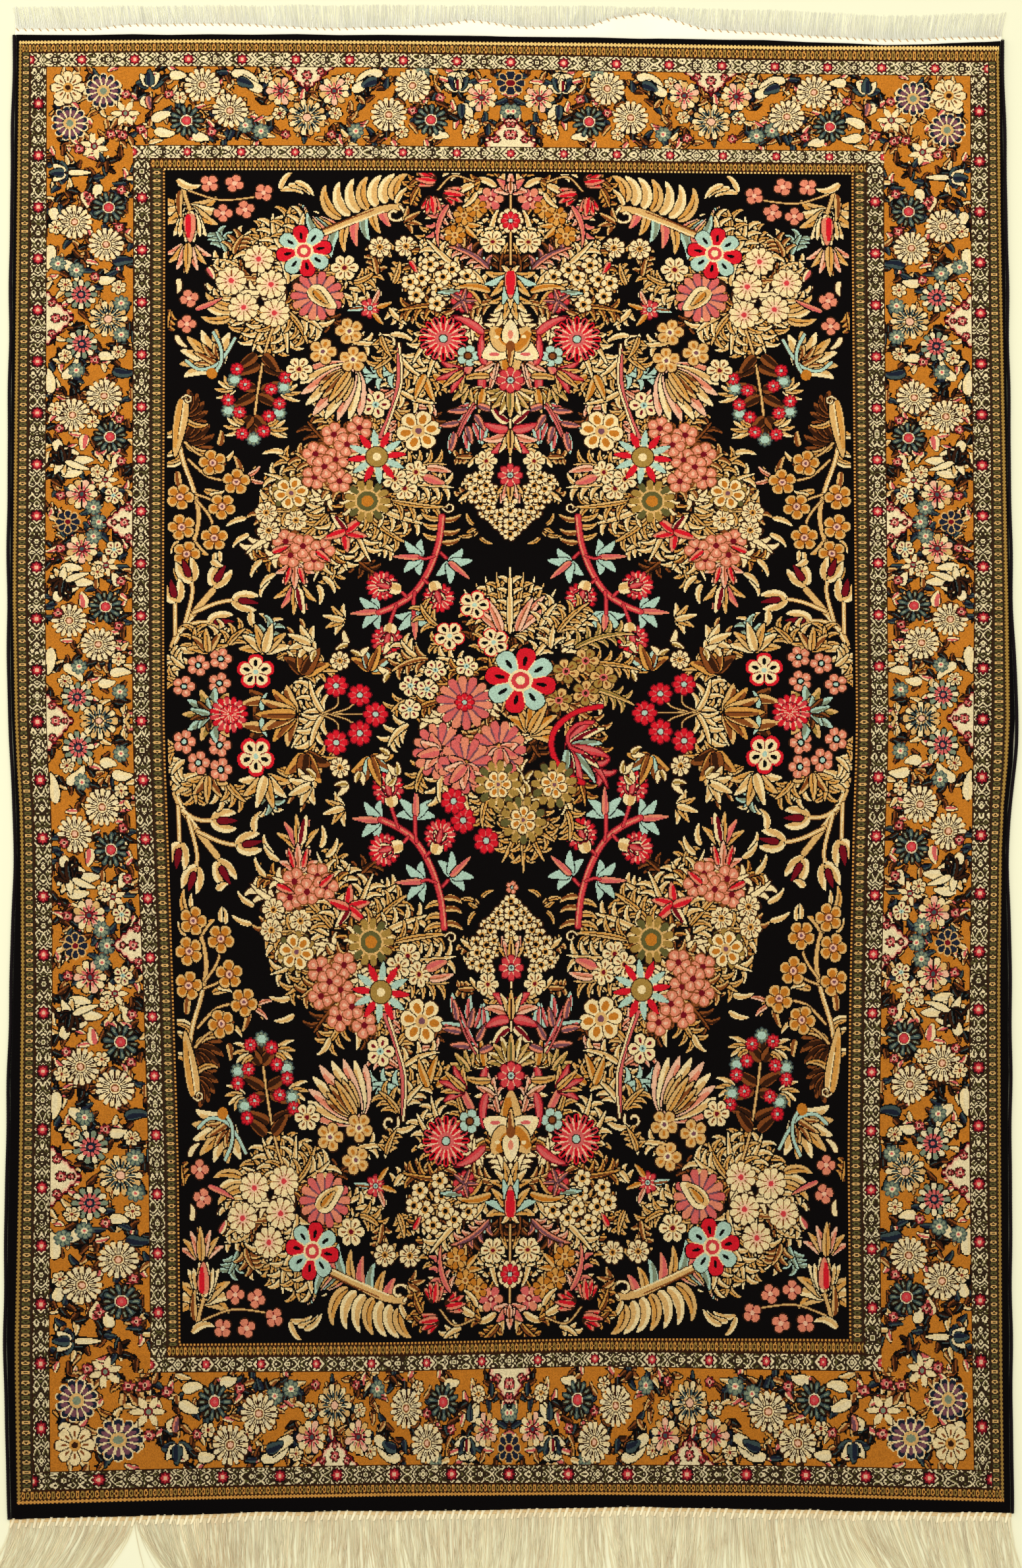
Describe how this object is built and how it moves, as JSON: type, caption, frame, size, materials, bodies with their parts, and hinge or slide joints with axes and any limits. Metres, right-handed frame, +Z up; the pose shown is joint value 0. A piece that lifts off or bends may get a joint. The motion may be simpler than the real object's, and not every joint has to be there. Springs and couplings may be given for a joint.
{
  "type": "hand-knotted rug",
  "caption": "Flat rectangular knotted rug with a floral field and layered borders, overcast side cords and fringed end webs.",
  "frame": {"origin": "on the floor under the middle of the whole rug, fringes included", "axes": "+Y along the rug's length towards the end with the short fringe, +X across it to the right as seen from above, +Z up out of the pile"},
  "size_m": [1.4184, 2.2006, 0.008],
  "materials": {
    "knotted_pile": "dense short wool pile with a soft lustre, black field, ochre border",
    "side_cord": "black wool overcast stitches",
    "cotton_fringe": "undyed cotton web and knotted warp ends"
  },
  "bodies": {
    "root": {"carpet": "knotted_pile", "selvedge_left": "side_cord", "selvedge_right": "side_cord", "fringe_top": "cotton_fringe", "fringe_bottom": "cotton_fringe"}
  },
  "joints": []
}
